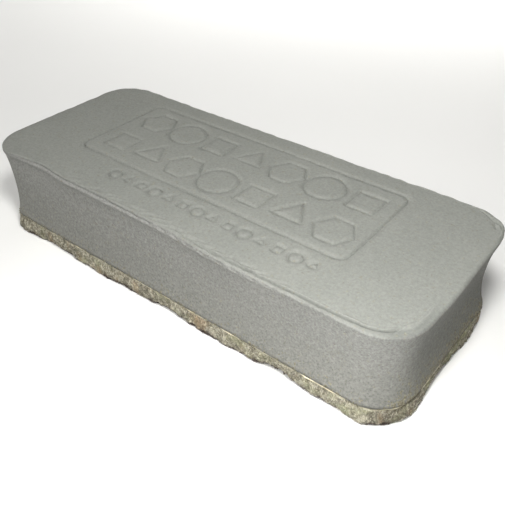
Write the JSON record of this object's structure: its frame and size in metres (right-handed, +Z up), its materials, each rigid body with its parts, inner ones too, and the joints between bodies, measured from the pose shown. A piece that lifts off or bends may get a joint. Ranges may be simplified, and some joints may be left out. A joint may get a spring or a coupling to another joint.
{
  "type": "whiteboard eraser",
  "caption": "Long foam block eraser with hollow sides, a creased rim, a pressed geometric emblem and a worn pile-fabric wiping pad glued underneath.",
  "frame": {"origin": "middle of the wiping face, at the tips of the pile, which is the middle of the base of the whole object", "axes": "+Z up, from the wiping face to the foam's top; +X along the eraser's length; the strip of small shapes in the top is on the -Y side"},
  "size_m": [0.127, 0.052, 0.025],
  "materials": {
    "foam": "matte fine-celled grey foam",
    "adhesive": "aged hot-melt adhesive, cream to amber",
    "ground_cloth": "woven ground cloth, frayed along its cut edge",
    "pile": "worn cut pile, stained dark at the tips"
  },
  "bodies": {
    "root": {"foam_block": "foam", "adhesive_film": "adhesive", "pad_ground_cloth": "ground_cloth", "pad_pile": "pile"}
  },
  "joints": []
}
